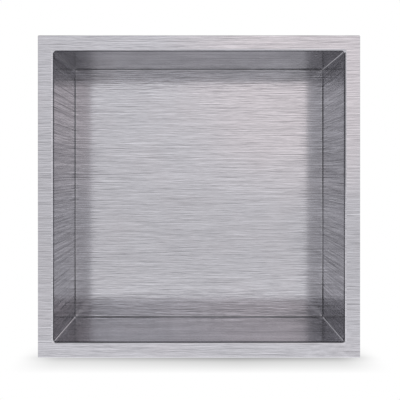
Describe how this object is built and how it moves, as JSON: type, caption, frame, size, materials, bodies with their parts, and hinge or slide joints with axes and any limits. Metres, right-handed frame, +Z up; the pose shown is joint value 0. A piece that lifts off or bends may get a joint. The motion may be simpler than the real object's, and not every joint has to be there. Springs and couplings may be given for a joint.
{
  "type": "shower niche insert",
  "caption": "Square recessed shower niche folded from brushed stainless steel, open at the front, with a flat flange that covers the cut edge of the tiles.",
  "frame": {"origin": "centre of the flange's back face, in the plane of the wall's face", "axes": "+Y points into the wall, +Z is up, and the open front faces -Y"},
  "size_m": [0.3048, 0.1016, 0.3048],
  "materials": {
    "brushed_stainless": "fine brushed grain that runs across the back panel and flange and follows the folds onto the side walls"
  },
  "bodies": {
    "root": {"niche_body": "brushed_stainless"}
  },
  "joints": []
}
